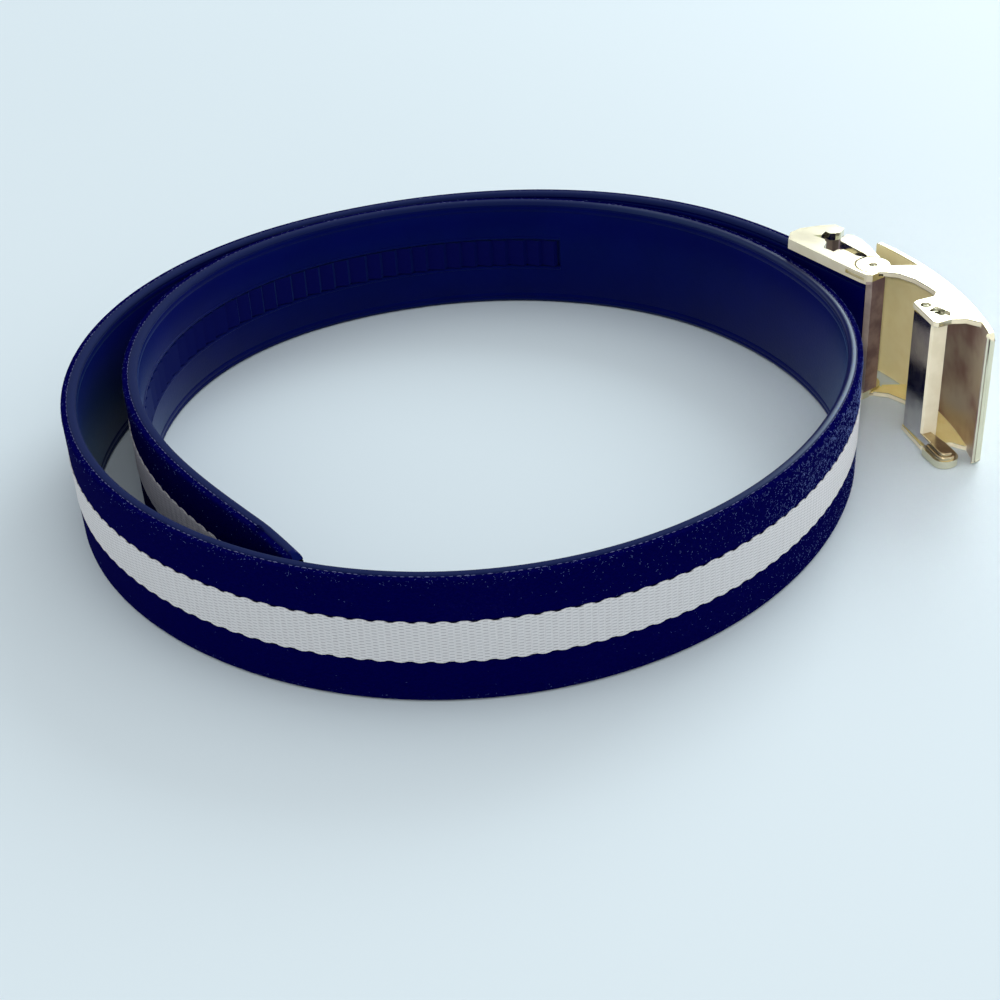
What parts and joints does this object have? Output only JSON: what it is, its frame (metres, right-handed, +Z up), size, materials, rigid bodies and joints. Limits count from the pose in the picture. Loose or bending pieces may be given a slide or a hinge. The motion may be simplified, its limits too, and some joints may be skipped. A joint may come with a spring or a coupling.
{
  "type": "ratchet belt",
  "caption": "Leather ratchet belt with a striped woven facing, wound loosely on its edge, with a hinged automatic buckle on a clamp.",
  "frame": {"origin": "centre of the belt's outline on the ground, the surface that its lower edge stands on", "axes": "+X along the longest extent, towards the buckle, +Y towards the back of the loop, +Z up across the strap's width"},
  "size_m": [0.2452, 0.2064, 0.04],
  "materials": {
    "leather": "smooth black-navy leather, semi-gloss, with a glossy painted edge",
    "facing": "dark navy napped weave, matt",
    "ribbon": "white twill stripe with scalloped edges, matt",
    "track": "black moulded plastic, satin",
    "gold": "polished pale gold plate",
    "steel": "polished steel pins"
  },
  "bodies": {
    "belt": {"strap_backing": "leather", "strap_facing": "facing", "stripe_ribbon": "ribbon", "ratchet_track": "track", "clamp_body": "gold", "jaw_pin": "steel", "hinge_rivet_top": "steel", "hinge_rivet_bottom": "steel"},
    "frame": {"buckle_frame": "gold", "pawl_pin": "steel", "spring_clip_top": "steel", "spring_clip_bottom": "steel"},
    "pawl": {"pawl_lever": "gold"},
    "jaw": {"clamp_jaw": "gold"}
  },
  "joints": [
    {"name": "frame_swing", "type": "hinge", "parent": "belt", "child": "frame", "pos_m": [0.09992, 0.02732, 0.02], "axis": [0, 0, 1], "range_deg": [-6, 11]},
    {"name": "pawl_release", "type": "hinge", "parent": "frame", "child": "pawl", "pos_m": [0.10872, 0.00198, 0.02], "axis": [0, 0, -1], "range_deg": [0, 12], "stiffness_Nm_per_rad": 0.05},
    {"name": "jaw_open", "type": "hinge", "parent": "belt", "child": "jaw", "pos_m": [0.09718, 0.04257, 0.02], "axis": [0, 0, 1], "range_deg": [0, 30]}
  ]
}
